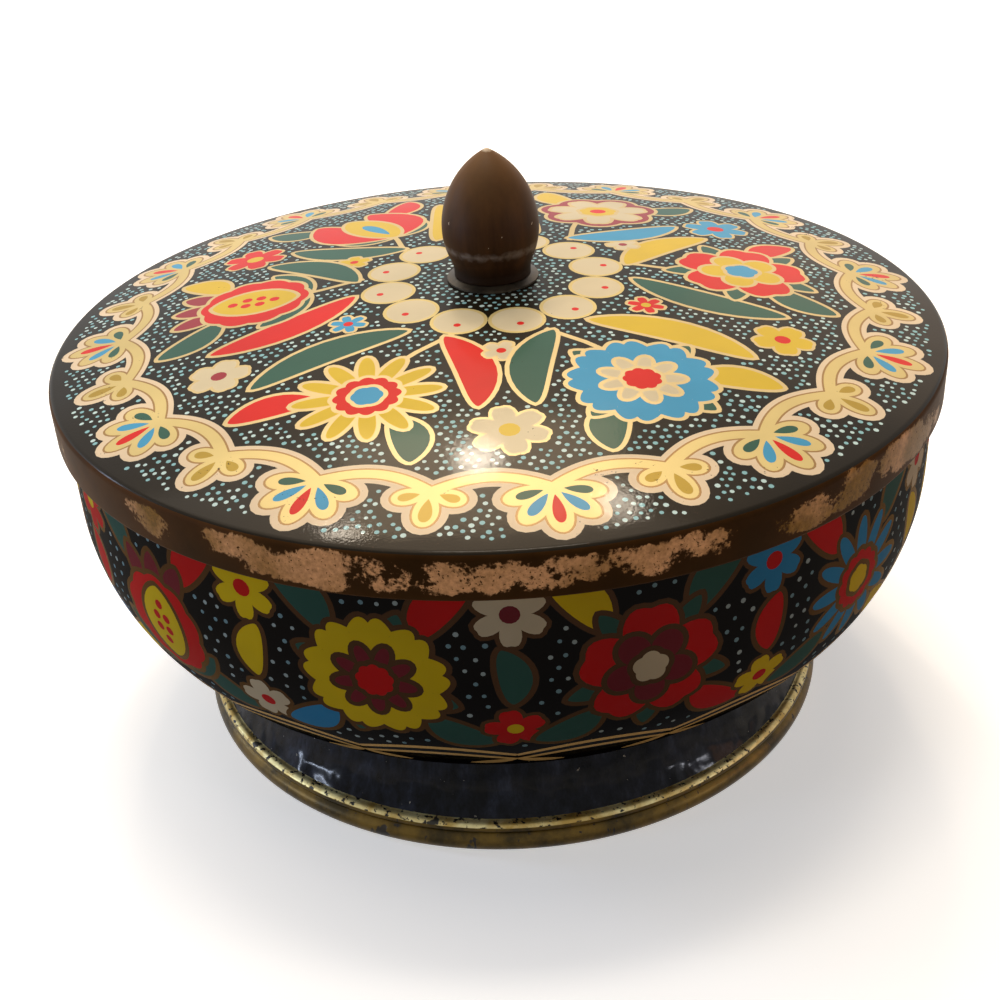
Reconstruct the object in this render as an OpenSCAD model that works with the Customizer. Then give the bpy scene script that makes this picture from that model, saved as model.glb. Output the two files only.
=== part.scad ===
// Round tin bowl with a lift-off lid, standing on a flared foot ring.
// Every shell is one sheet of tinplate, drawn and rolled at its edges.
// Millimetres, +Z up. The origin is the centre of the foot, on the surface that the bowl stands on.

/* [Tinplate] */
// Thickness of the sheet
sheet = 0.4; // [0.3:0.05:0.6]
// Gap left between faces that are soldered or clamped together
joint_gap = 0.05; // [0.02:0.01:0.1]

/* [Bowl] */
// Outside diameter of the straight wall
bowl_d = 196; // [180:1:215]
// Height of the rim above the table
bowl_h = 91; // [80:1:115]
// Radius of the belly between the wall and the floor
belly_r = 46.5; // [36:0.5:54]
// Radius of the bead rolled inwards along the rim
rim_bead_r = 1; // [0.8:0.1:1.3]

/* [Foot] */
// Height of the bowl's floor above the table
foot_h = 18; // [15:0.5:24]
// Outside diameter of the foot where it leaves the bowl
foot_neck_d = 140; // [130:1:146]
// Width of the flange that is soldered under the belly
flange_w = 6; // [3:0.5:9]
// Outside diameter over the rolled hem
foot_d = 154; // [150:1:166]
// Radius of the ridge along the top of the hem
hem_ridge_r = 1.3; // [1:0.1:1.6]
// Radius of the roll along the bottom of the hem
hem_roll_r = 2.7; // [2:0.1:3]
// How far the roll stands out beyond the ridge
hem_step = 0.8; // [0:0.1:1.2]
// Depth of the flat that the roll stands on
hem_flat = 0.3; // [0.2:0.05:0.5]
// Height of the gap that the roll leaves open at its back
hem_gap = 1.3; // [1:0.05:1.5]

/* [Lid] */
// Clearance between the skirt's bead and the bowl's wall
lid_clear = 0.6; // [0.4:0.1:1.2]
// Height of the skirt below the shoulder
skirt_h = 8.3; // [5:0.1:14]
// Radius of the bead rolled inwards along the skirt
skirt_bead_r = 0.7; // [0.6:0.05:0.9]
// Radius of the rolled shoulder between the dome and the skirt
shoulder_r = 1.7; // [1:0.1:4]
// Radius of the shallow dome
dome_r = 480; // [300:10:900]
// Gap between the dome and the rim that it rests on
seat_gap = 0.3; // [0.2:0.05:0.5]

/* [Knob] */
// Widest diameter of the bud
bud_d = 21.6; // [20:0.1:23]
// Height of the widest place above the knob's base
bud_widest_h = 10.8; // [10.4:0.1:16]
// Radius of the bud's ogive profile above its widest place
bud_arc_r = 20; // [16:0.1:30]
// Radius of the rounded tip
tip_r = 1.2; // [0.5:0.1:2]
// Radius of the bud's profile below its widest place
bud_foot_r = 16; // [12:0.5:17]
// Diameter of the neck that the bud narrows into
neck_d = 17.2; // [16.4:0.1:18.6]
// Diameter of the collar under the knob
collar_d = 20.6; // [19:0.2:26]
// Thickness of the collar
collar_t = 1; // [0.7:0.1:1.6]
// Thickness of the collar's edge
collar_edge_t = 0.45; // [0.3:0.05:0.6]

/* [Fixing] */
// Shank diameter of the knob's screw
screw_d = 4; // [3:0.5:5]
// Depth that the screw reaches into the knob
screw_grip = 12; // [8:1:16]
// Depth of the knob's pilot hole beyond the end of the screw
pilot_spare = 2; // [1:0.5:4]
// Diameter of the screw's head
head_d = 8; // [7:0.5:10]
// Height of the screw's head
head_h = 2.4; // [1.8:0.1:3]
// Width of the screwdriver slot
slot_w = 1; // [0.8:0.1:1.4]
// Depth of the screwdriver slot
slot_depth = 1.1; // [0.8:0.1:1.4]
// Outside diameter of the washer inside the lid
washer_d = 14; // [12:0.5:20]
// Thickness of the washer
washer_t = 1; // [0.8:0.1:1.6]
// Radial clearance of the screw in the collar, lid and washer
screw_clear = 0.2; // [0.1:0.05:0.3]
// Radial clearance of the screw in the knob's pilot hole
thread_gap = 0.05; // [0.02:0.01:0.1]

/* [Hidden] */

// Sides of a full turn, and the largest turn and length of a step along a profile's arc
$fn = 180;
arc_turn = 6;
arc_len = 4;

// How far a cut runs past the face that it opens, and a shank into its head
cut_over = 1;
shank_sunk = 0.5;

bowl_r = bowl_d / 2;
floor_r = bowl_r - belly_r;
belly_z = foot_h + belly_r;
rim_z = bowl_h - rim_bead_r;
rim_r = bowl_r - rim_bead_r;

// The lid rests on the rim: its dome passes seat_gap above the rim's bead
lid_r = bowl_r + lid_clear + 2 * skirt_bead_r;
dome_z = rim_z - sqrt(pow(dome_r - sheet - rim_bead_r - seat_gap, 2) - pow(rim_r, 2));
shoulder_c = lid_r - shoulder_r;
shoulder_z = dome_z + sqrt(pow(dome_r - shoulder_r, 2) - pow(shoulder_c, 2));
shoulder_a = atan2(shoulder_z - dome_z, shoulder_c);
skirt_z = shoulder_z - skirt_h;
crown_z = dome_z + dome_r;

// The collar, knob, washer and screw are stacked on the crown of the dome
hole_r = screw_d / 2 + screw_clear;
collar_z = crown_z + joint_gap;
knob_z = collar_z + collar_t + joint_gap;
washer_z = dome_z + sqrt(pow(dome_r - sheet, 2) - pow(washer_d / 2, 2)) - joint_gap;
head_z = washer_z - washer_t - joint_gap;
bud_c = bud_d / 2 - bud_arc_r;
tip_z = bud_widest_h + sqrt(pow(bud_arc_r - tip_r, 2) - pow(bud_c, 2));
tip_a = atan2(tip_z - bud_widest_h, -bud_c);
bud_foot_c = bud_d / 2 - bud_foot_r;
neck_a = -acos((neck_d / 2 - bud_foot_c) / bud_foot_r);

// The foot's flange lies under the belly, on an arc with the belly's own centre
flange_r = belly_r + joint_gap;
cove_top_r = foot_neck_d / 2;
flange_end_a = -acos((cove_top_r - floor_r) / flange_r);
cove_top_z = belly_z + flange_r * sin(flange_end_a);
flange_in_end_a = -acos((cove_top_r - sheet - floor_r) / (flange_r + sheet));
cove_in_top_z = belly_z + (flange_r + sheet) * sin(flange_in_end_a);
flange_a = flange_end_a - flange_w / flange_r * 180 / PI;

// The hem's ridge sits on its roll, and the cove runs from the neck into the ridge
roll_c = foot_d / 2 - hem_roll_r;
roll_z = hem_roll_r - hem_flat;
ridge_c = foot_d / 2 - hem_step - hem_ridge_r;
ridge_z = roll_z + hem_roll_r + hem_ridge_r - sheet;
cove_drop = cove_top_z - ridge_z;
cove_flare = ridge_c - cove_top_r;
cove_r = (pow(cove_drop, 2) + pow(cove_flare, 2)) / (2 * cove_flare);
cove_c = cove_top_r + cove_r;
cove_a = 180 + asin(cove_drop / cove_r);
cove_in_a = 180 + asin((cove_top_z - cove_in_top_z) / (cove_r + sheet));

// Points along an arc about c, from angle a to angle b
function arc(c, r, a, b) =
    let (turn = abs(b - a))
    let (n = ceil(max(turn / arc_turn, turn * PI / 180 * r / arc_len)))
    [for (i = [0:n]) let (t = a + (b - a) * i / n) [c[0] + r * cos(t), c[1] + r * sin(t)]];

// Drawn bowl: flat floor, round belly, straight wall and an inward bead on the rim
module bowl_shell() {
    bead_end = 360 - acos((rim_bead_r - sheet) / rim_bead_r);
    color("#1d1a18")
        rotate_extrude()
            polygon(concat(
                [[0, foot_h]],
                arc([floor_r, belly_z], belly_r, -90, 0),
                arc([rim_r, rim_z], rim_bead_r, 0, bead_end),
                arc([floor_r, belly_z], belly_r - sheet, 0, -90),
                [[0, foot_h + sheet]]));
}

// Section of the foot's sheet: the flange under the belly, then the cove down to the hem
module foot_sheet() {
    polygon(concat(
        arc([floor_r, belly_z], flange_r, flange_a, flange_end_a),
        arc([cove_c, cove_top_z], cove_r, 180, cove_a),
        arc([cove_c, cove_top_z], cove_r + sheet, cove_a, cove_in_a),
        arc([floor_r, belly_z], flange_r + sheet, flange_in_end_a, flange_a)));
}

// Section of the hem: a ridge over a hollow roll, which is open at the back and flat below
module foot_hem() {
    translate([ridge_c, ridge_z])
        circle(r = hem_ridge_r);
    difference() {
        roll_above(0, hem_roll_r);
        roll_above(sheet, hem_roll_r - sheet);
        translate([roll_c - 2 * hem_roll_r, roll_z])
            square([2 * hem_roll_r, hem_gap]);
    }
}

// A round about the roll's centre, cut off flat at height z
module roll_above(z, r) {
    difference() {
        translate([roll_c, roll_z])
            circle(r = r);
        translate([roll_c - hem_roll_r, z - hem_roll_r])
            square([2 * hem_roll_r, hem_roll_r]);
    }
}

// Flared foot ring, soldered to the bowl by its flange
module foot_ring() {
    color("#14151b")
        union() {
            rotate_extrude()
                foot_sheet();
            rotate_extrude()
                foot_hem();
        }
}

// Drawn lid: shallow dome, rolled shoulder and a short skirt with an inward bead
module lid_shell() {
    bead_z = skirt_z + skirt_bead_r;
    bead_c = lid_r - skirt_bead_r;
    bead_end = acos((skirt_bead_r - sheet) / skirt_bead_r) - 360;
    hole_a = acos(hole_r / dome_r);
    hole_in_a = acos(hole_r / (dome_r - sheet));
    color("#26221f")
        rotate_extrude()
            polygon(concat(
                arc([0, dome_z], dome_r, hole_a, shoulder_a),
                arc([shoulder_c, shoulder_z], shoulder_r, shoulder_a, 0),
                arc([bead_c, bead_z], skirt_bead_r, 0, bead_end),
                arc([shoulder_c, shoulder_z], shoulder_r - sheet, 0, shoulder_a),
                arc([0, dome_z], dome_r - sheet, shoulder_a, hole_in_a)));
}

// Turned knob: a pointed bud that narrows into a short neck, with a blind hole for the screw
module knob() {
    hole_h = screw_grip + pilot_spare;
    color("#3a2618")
        translate([0, 0, knob_z])
            difference() {
                rotate_extrude()
                    polygon(concat(
                        [[0, 0], [neck_d / 2, 0]],
                        arc([bud_foot_c, bud_widest_h], bud_foot_r, neck_a, 0),
                        arc([bud_c, bud_widest_h], bud_arc_r, 0, tip_a),
                        arc([0, tip_z], tip_r, tip_a, 90)));
                translate([0, 0, -cut_over])
                    cylinder(r = screw_d / 2 + thread_gap, h = hole_h + cut_over);
            }
}

// Thin dished collar that the knob stands on
module knob_collar() {
    color("#2b211a")
        translate([0, 0, collar_z])
            rotate_extrude()
                polygon([
                    [hole_r, 0],
                    [collar_d / 2, 0],
                    [collar_d / 2, collar_edge_t],
                    [neck_d / 2, collar_t],
                    [hole_r, collar_t]]);
}

// Slotted round-head screw, from inside the lid up into the knob
module knob_screw() {
    cap_r = (pow(head_d / 2, 2) + pow(head_h, 2)) / (2 * head_h);
    rim_a = -90 + asin(head_d / 2 / cap_r);
    shank_z = head_z - shank_sunk;
    color("silver")
        difference() {
            union() {
                translate([0, 0, head_z])
                    rotate_extrude()
                        polygon(concat([[0, 0]], arc([0, cap_r - head_h], cap_r, -90, rim_a)));
                translate([0, 0, shank_z])
                    cylinder(d = screw_d, h = knob_z + screw_grip - shank_z);
            }
            translate([-head_d / 2 - cut_over, -slot_w / 2, head_z - head_h - cut_over])
                cube([head_d + 2 * cut_over, slot_w, slot_depth + cut_over]);
        }
}

// Flat washer between the screw's head and the inside of the dome
module screw_washer() {
    color("gainsboro")
        translate([0, 0, washer_z - washer_t])
            difference() {
                cylinder(d = washer_d, h = washer_t);
                translate([0, 0, -cut_over])
                    cylinder(r = hole_r, h = washer_t + 2 * cut_over);
            }
}

bowl_shell();
foot_ring();
lid_shell();
knob();
knob_collar();
knob_screw();
screw_washer();
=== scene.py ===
import math
import random

import bpy
from mathutils import Matrix, Vector
from mathutils.bvhtree import BVHTree
from mathutils.geometry import delaunay_2d_cdt


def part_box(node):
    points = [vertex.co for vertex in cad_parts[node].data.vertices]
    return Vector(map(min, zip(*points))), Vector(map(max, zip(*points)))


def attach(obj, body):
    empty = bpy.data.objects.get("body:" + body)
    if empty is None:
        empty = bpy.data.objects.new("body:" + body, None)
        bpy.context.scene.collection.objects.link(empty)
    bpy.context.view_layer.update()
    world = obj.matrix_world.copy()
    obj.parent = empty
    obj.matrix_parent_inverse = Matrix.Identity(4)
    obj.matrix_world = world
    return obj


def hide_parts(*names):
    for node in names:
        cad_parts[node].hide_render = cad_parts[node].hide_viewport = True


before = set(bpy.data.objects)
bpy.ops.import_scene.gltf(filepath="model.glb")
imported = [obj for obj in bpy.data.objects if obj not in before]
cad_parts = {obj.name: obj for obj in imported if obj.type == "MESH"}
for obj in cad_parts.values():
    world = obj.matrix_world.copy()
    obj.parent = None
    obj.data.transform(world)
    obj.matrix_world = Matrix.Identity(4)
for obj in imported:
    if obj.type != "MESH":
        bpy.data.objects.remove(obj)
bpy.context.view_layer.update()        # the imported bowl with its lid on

mm = 0.001               # sizes below are in millimetres
turnSteps = 256          # sides of a spun piece
rowStep = 0.866          # height of a row of dots, set as in a honeycomb, to a step along it
sheetT = 0.4             # thickness of the tinplate
sharpA = 40              # an edge that turns by more degrees than this stays sharp


def boxOf(name):
    low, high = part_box(name)
    return [c / mm for c in low], [c / mm for c in high]


def linear(hexColour):
    parts = [int(hexColour[i:i + 2], 16) / 255 for i in (0, 2, 4)]
    return [*(c / 12.92 if c <= 0.04045 else ((c + 0.055) / 1.055) ** 2.4 for c in parts), 1]


# how often a pattern of this size repeats in a metre
def per(size):
    return 1 / (size * mm)


# fills a node's sockets by name or in order: a node or an output is linked, and a colour is in hex
def wire(made, values):
    pairs = values.items() if isinstance(values, dict) else enumerate(values)
    for name, value in pairs:
        if isinstance(value, bpy.types.Node):
            value = next(out for out in value.outputs if out.enabled)
        if isinstance(value, bpy.types.NodeSocket):
            made.id_data.links.new(value, made.inputs[name])
        else:
            made.inputs[name].default_value = linear(value) if isinstance(value, str) else value


# adds a node with its settings and links; stops fill a colour ramp
def node(tree, kind, values=(), stops=(), blend="LINEAR", **settings):
    made = tree.nodes.new("ShaderNode" + kind)
    for name, value in settings.items():
        setattr(made, name, value)
    wire(made, values)
    for k, (place, colour) in enumerate(stops):
        made.color_ramp.interpolation = blend
        elements = made.color_ramp.elements
        stop = elements[k] if k < len(elements) else elements.new(place)
        stop.position = place
        stop.color = linear(colour)
    return made


def newFinish(name):
    finish = bpy.data.materials.new(name)
    finish.use_nodes = True
    tree = finish.node_tree
    return finish, tree, tree.nodes["Principled BSDF"], node(tree, "TexCoord").outputs["Object"]


# Outlines on the flat, in millimetres, counter-clockwise

def polar(r, deg):
    return (r * math.cos(math.radians(deg)), r * math.sin(math.radians(deg)))


def arc(centre, r, start, end, steps):
    turns = [start + (end - start) * k / steps for k in range(steps + 1)]
    return [(centre[0] + x, centre[1] + y) for x, y in (polar(r, t) for t in turns)]


def turned(outline, deg, at=(0, 0)):
    c, s = polar(1, deg)
    return [(at[0] + x * c - y * s, at[1] + x * s + y * c) for x, y in outline]


def disc(r, at=(0, 0), sides=28):
    return turned([polar(r, 360 * k / sides) for k in range(sides)], 0, at)


# a drop with its point at the origin, rounder as taper falls, and dented at its end by notch
def drop(length, width, taper=1.0, notch=0.0, sides=26):
    outline = []
    for k in range(sides):
        a = 2 * math.pi * k / sides
        dent = notch * max(0, 1 - abs(a - math.pi) / 0.6)
        outline.append((length / 2 * (1 - math.cos(a)) - dent,
                        -width / 2 * math.sin(a) * abs(math.sin(a / 2)) ** taper))
    return outline


# a leaf with a point at each end, its middle bent to one side
def leafShape(length, width, bend=0.0, sides=30):
    outline = []
    for k in range(sides):
        a = 2 * math.pi * k / sides
        x = length / 2 * (1 - math.cos(a))
        along = x / length
        side = -width / 2 * math.sin(a) * abs(math.sin(a)) ** 0.35
        outline.append((x, side + 4 * bend * along * (1 - along)))
    return outline


# a petal that widens from its root to a scalloped end
def toothed(length, width, teeth):
    side = [(0, 0), (0.3, -0.17), (0.55, -0.36), (0.72, -0.45)]
    outline = [(x * length, y * width) for x, y in side]
    for k in range(8 * teeth + 1):
        share = k / (8 * teeth)
        scallop = 0.9 + 0.1 * abs(math.sin(math.pi * teeth * share)) ** 0.8
        outline.append((length * scallop * (1 - 0.5 * (share - 0.5) ** 2), width * (share - 0.5)))
    return outline + [(x, -y) for x, y in outline[3:0:-1]]


# round lobes that meet in creases
def lobed(r, lobes, depth):
    sides = lobes * 8
    outline = []
    for k in range(sides):
        a = 360 * k / sides
        reach = 1 - depth * (1 - abs(math.cos(math.radians(lobes * a / 2))))
        outline.append(polar(r * reach, a))
    return outline


# a line of even width along a path
def stroke(path, width):
    left, right = [], []
    half = width / 2
    for k, (x, y) in enumerate(path):
        before, after = path[max(k - 1, 0)], path[min(k + 1, len(path) - 1)]
        dx, dy = after[0] - before[0], after[1] - before[1]
        size = math.hypot(dx, dy)
        left.append((x - dy / size * half, y + dx / size * half))
        right.append((x + dy / size * half, y - dx / size * half))
    return right + left[::-1]


# the outline moved outwards, with its corners kept sharp
def grown(outline, reach):
    count = len(outline)
    moved = []
    for k, (x, y) in enumerate(outline):
        sides = []
        for (ax, ay), (bx, by) in ((outline[k - 1], (x, y)), ((x, y), outline[(k + 1) % count])):
            size = math.hypot(bx - ax, by - ay) or 1
            sides.append(((by - ay) / size, (ax - bx) / size))
        (ux, uy), (vx, vy) = sides
        mitre = reach / max(1 + ux * vx + uy * vy, 0.35)
        moved.append((x + (ux + vx) * mitre, y + (uy + vy) * mitre))
    return moved


def turnArea(outline):
    pairs = zip(outline, outline[1:] + outline[:1])
    return sum(ax * by - bx * ay for (ax, ay), (bx, by) in pairs)


# The print: every shape is an ink and an outline, and later shapes lie over earlier ones

inkNames = ["ground", "gold", "tan", "band", "halo", "red", "blue", "green", "yellow",
            "maroon", "cream", "ochre", "dot", "dotPale"]
inkShine = {"band": 0.17, "gold": 0.18, "tan": 0.22, "ochre": 0.15}    # bronze powder in the gold inks


# a pen that draws outlined shapes at a place; stretch widens them where the surface narrows
def penAt(shapes, at, turn, line, stretch=1.0, mirror=1):
    def draw(ink, outline, outlined=True, filled=True):
        placed = [(at[0] + x * mirror * stretch, at[1] + y) for x, y in turned(outline, turn)]
        if turnArea(placed) < 0:
            placed.reverse()
        if outlined:
            shapes.append(("gold", grown(placed, line)))
        if filled:
            shapes.append((ink, placed))
    return draw


# the width at which the petals of a ring leave a gap for the gold line between them
def petalWidth(length, count, gap=1.0):
    return 1.3 * length * math.tan(math.pi / count) - gap


# petals side by side: all their outlines come first
def petalRing(draw, inks, count, petal, start=0.0):
    petals = [turned(petal, start + 360 / count * k) for k in range(count)]
    for each in petals:
        draw("gold", each, True, False)
    for k, each in enumerate(petals):
        draw(inks[k % len(inks)], each, False)


def hedgeRose(draw, size, inks):
    petalRing(draw, inks[3:], 5, leafShape(size * 1.14, size * 0.36), 36)
    petalRing(draw, inks[:1], 5, drop(size, petalWidth(size, 5), 0.5, size * 0.1))
    petalRing(draw, inks[1:2], 5, drop(size * 0.6, petalWidth(size * 0.6, 5), 0.6), 36)
    draw(inks[2], lobed(size * 0.25, 5, 0.16))


def sunDaisy(draw, size, inks):
    petalRing(draw, inks[:2], 12, drop(size, petalWidth(size, 12), 0.7))
    draw(inks[2], lobed(size * 0.46, 12, 0.12))
    draw(inks[3], lobed(size * 0.22, 6, 0.1))


def cornflower(draw, size, inks):
    petalRing(draw, inks[3:], 4, leafShape(size * 1.12, size * 0.4), 20)
    petalRing(draw, inks[:1], 9, toothed(size, size * 0.58, 2))
    petalRing(draw, inks[1:2], 9, drop(size * 0.56, petalWidth(size * 0.56, 9, 0.6), 0.7), 20)
    draw(inks[2], lobed(size * 0.26, 9, 0.12))


def anemone(draw, size, inks):
    draw(inks[0], lobed(size, 7, 0.14))
    petalRing(draw, inks[1:2], 7, drop(size * 0.86, petalWidth(size * 0.86, 7), 0.55, size * 0.06))
    draw(inks[2], lobed(size * 0.32, 7, 0.12))
    draw(inks[3], disc(size * 0.14, (0, 0), 16), False)


def tulip(draw, size, inks):
    for side in (-1, 1):
        draw(inks[3], turned(leafShape(size * 1.15, size * 0.42, side * size * 0.16), 52 * side))
        draw(inks[0], turned(leafShape(size * 2.0, size * 0.92, side * size * 0.3), 17 * side))
    draw(inks[1], leafShape(size * 1.72, size * 0.8))
    draw(inks[2], turned(drop(size * 0.95, size * 0.32, 0.8), 0, (size * 0.22, 0)), False)


def pomegranate(draw, size, inks):
    for k in (-1, 1, 0):
        draw(inks[2], turned(leafShape(size * 0.85, size * 0.4), 26 * k, (size * 1.45, 0.26 * k * size)))
    for side in (-1, 1):
        draw(inks[3], turned(leafShape(size * 1.3, size * 0.4, side * size * 0.12), 58 * side))
    draw(inks[0], turned(lobed(size * 0.93, 10, 0.07), 0, (size * 0.92, 0)))
    draw(inks[1], turned(leafShape(size * 1.45, size * 0.95), 0, (size * 0.2, 0)))
    for row, count in ((0.58, 1), (0.82, 2), (1.06, 2), (1.3, 1)):
        for k in range(count):
            spot = (size * row, size * 0.24 * (k - (count - 1) / 2))
            draw(inks[4], disc(size * 0.09, spot, 10), False)


def littleFlower(draw, size, petals, inks):
    petalRing(draw, inks[:1], petals, drop(size, petalWidth(size, petals, 0.8), 0.5, size * 0.08, 20), 10)
    draw(inks[1], disc(size * 0.26, (0, 0), 14), False)


# flat map of all the shapes, as triangles with one ink each
def flatMap(shapes, loose):
    corners, outlines = [], []
    for ink, outline in shapes:
        ordered = outline if turnArea(outline) > 0 else outline[::-1]
        outlines.append(list(range(len(corners), len(corners) + len(ordered))))
        corners.extend(Vector(p) for p in ordered)
    corners.extend(Vector(p) for p in loose)
    found = delaunay_2d_cdt(corners, [], outlines, 1, 1e-5)
    return found[0], found[2], [shapes[max(owners)][0] for owners in found[5]]


# dots go only where the bare ground shows, clear of every motif
def groundDots(shapes, spots, room, sizes, dice):
    places, faces, inks = flatMap(shapes, [])
    tree = BVHTree.FromPolygons([(x, y, 0) for x, y in places], faces)

    def isGround(x, y):
        hit = tree.ray_cast(Vector((x, y, 1)), Vector((0, 0, -1)))[2]
        return hit is not None and inks[hit] == "ground"

    dots = []
    for x, y, stretch in spots:
        r = dice.uniform(*sizes)
        reach = r + room
        if all(isGround(x + dx * reach * stretch, y + dy * reach) for dx, dy in disc(1, (0, 0), 8)):
            ink = "dot" if dice.random() < 0.6 else "dotPale"
            dots.append((ink, [(x + dx * r * stretch, y + dy * r) for dx, dy in disc(1, (0, 0), 8)]))
    return dots


# mesh of a flat map laid on its surface, with the ink kept on its faces
def printedMesh(name, flat, surface):
    places, faces, inks = flat
    kept = [k for k, ink in enumerate(inks) if ink != "hole"]
    mesh = bpy.data.meshes.new(name)
    mesh.from_pydata([[c * mm for c in surface(x, y)] for x, y in places], [], [faces[k] for k in kept])
    layer = mesh.attributes.new("ink", "FLOAT", "FACE")
    layer.data.foreach_set("value", [(inkNames.index(inks[k]) + 0.5) / len(inkNames) for k in kept])
    layer = mesh.attributes.new("shine", "FLOAT", "FACE")
    layer.data.foreach_set("value", [inkShine.get(inks[k], 0.0) for k in kept])
    piece = bpy.data.objects.new(name, mesh)
    bpy.context.scene.collection.objects.link(piece)
    return piece


# Spun pieces: a profile is extruded point by point and spun about the axis

def spunPiece(name, profile, steps=turnSteps):
    bpy.ops.object.select_all(action="DESELECT")
    bpy.ops.mesh.primitive_plane_add(size=mm, location=(0, 0, 0))
    piece = bpy.context.object
    piece.name = piece.data.name = name
    bpy.ops.object.mode_set(mode="EDIT")
    bpy.ops.mesh.merge(type="CENTER")
    bpy.ops.transform.translate(value=(profile[0][0] * mm, 0, profile[0][1] * mm))
    for (r1, z1), (r2, z2) in zip(profile, profile[1:]):
        step = ((r2 - r1) * mm, 0, (z2 - z1) * mm)
        bpy.ops.mesh.extrude_region_move(TRANSFORM_OT_translate={"value": step})
    bpy.ops.mesh.select_all(action="SELECT")
    bpy.ops.mesh.spin(steps=steps, angle=2 * math.pi, center=(0, 0, 0), axis=(0, 0, 1))
    closeMesh()
    return piece


# merges doubles and turns the faces outwards, from edit mode back to object mode
def closeMesh():
    bpy.ops.mesh.select_all(action="SELECT")
    bpy.ops.mesh.remove_doubles(threshold=0.002 * mm)
    bpy.ops.mesh.normals_make_consistent(inside=False)
    bpy.ops.object.mode_set(mode="OBJECT")


# each face takes the finish of the nearest stretch of the profile
def giveFinishes(piece, stretches):
    slots = []
    spots = []
    for finish, points in stretches:
        if finish.name not in piece.data.materials:
            piece.data.materials.append(finish)
            slots.append(finish.name)
        for (r1, z1), (r2, z2) in zip(points, points[1:]):
            spots.append(((r1 + r2) / 2, (z1 + z2) / 2, slots.index(finish.name)))
    known = {}
    for face in piece.data.polygons:
        r, z = math.hypot(face.center.x, face.center.y) / mm, face.center.z / mm
        key = (round(r, 2), round(z, 2))
        if key not in known:
            known[key] = min(spots, key=lambda s: (s[0] - r) ** 2 + (s[1] - z) ** 2)[2]
        face.material_index = known[key]


# selects the pieces, with the first one active
def pick(*pieces):
    bpy.ops.object.select_all(action="DESELECT")
    for piece in pieces:
        piece.select_set(True)
    bpy.context.view_layer.objects.active = pieces[0]


def joinPieces(*pieces):
    pick(*pieces)
    bpy.ops.object.join()
    bpy.ops.object.mode_set(mode="EDIT")
    closeMesh()


# a map for the bake that gives the print most of the room; place puts a face's corner on it
def bakeMap(piece, place):
    layer = piece.data.uv_layers.new(name="OFBake")
    for face in piece.data.polygons:
        middle = math.degrees(math.atan2(face.center.y, face.center.x))
        for loop, corner in zip(face.loop_indices, face.vertices):
            x, y, z = (c / mm for c in piece.data.vertices[corner].co)
            # the corner's turn is counted on from the middle of its face, so no face is torn at the seam
            swing = (math.degrees(math.atan2(y, x)) - middle + 180) % 360 - 180
            layer.uv[loop].vector = place(face, math.hypot(x, y), z, middle, middle + swing)


def placePiece(piece, body, slot, *nodes):
    pick(piece)
    bpy.ops.object.shade_smooth_by_angle(angle=math.radians(sharpA))
    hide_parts(*nodes)
    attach(piece, body)


# Finishes

# Lithographed tinplate: flat inks, the gold ones with bronze powder, under a stoved varnish. Gives
# saturated flat colours, a warm soft sheen, orange-peel glints where a lamp is mirrored, and small dark rubs.
litho = {
    "lid": {
        # the ground ink is a black lifted to a warm brown, partly a painted warm sheen
        "inks": {"ground": "151008", "gold": "cdb888", "tan": "98784e", "band": "cdb97f", "halo": "dbc7ab",
                 "red": "d02825", "blue": "4497c2", "green": "31594d", "yellow": "d2b33a", "maroon": "96343f",
                 "cream": "cdc0a2", "ochre": "a68b3c", "dot": "88b8c1", "dotPale": "bcd5d7"},
        "roughness": 0.36, "specular": 0.065, "coat": 0.13, "coatRough": 0.03, "peel": 0.5,
        "peelDepth": 0.014, "rubFrom": 0.675, "rubInner": 74.0, "rubOuter": 88.0},
    # painted shade: the bowl's inks are darker copies of the lid's, for the bowl's sides in shade under light
    # from above
    "bowl": {
        "inks": {"ground": "0a0605", "gold": "3c2614", "band": "c09a60", "red": "ba1312", "blue": "2b7aa6",
                 "green": "2a4f45", "yellow": "ccac12", "maroon": "6d1d26", "cream": "bfae90",
                 "dot": "6f8c94", "dotPale": "98a5a4"},
        "roughness": 0.3, "specular": 0.0, "coat": 0.05, "coatRough": 0.08, "peel": 1.0,
        "peelDepth": 0.02, "rubFrom": 0.76, "rubInner": 0.0, "rubOuter": 1.0},
    "cloud": 18.0, "wave": 24.0, "waveDepth": 0.1, "rub": 0.8, "rubPatch": 9.0, "rubbed": "2a1c12",
    "sheen": "ffdca8",
}


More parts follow.
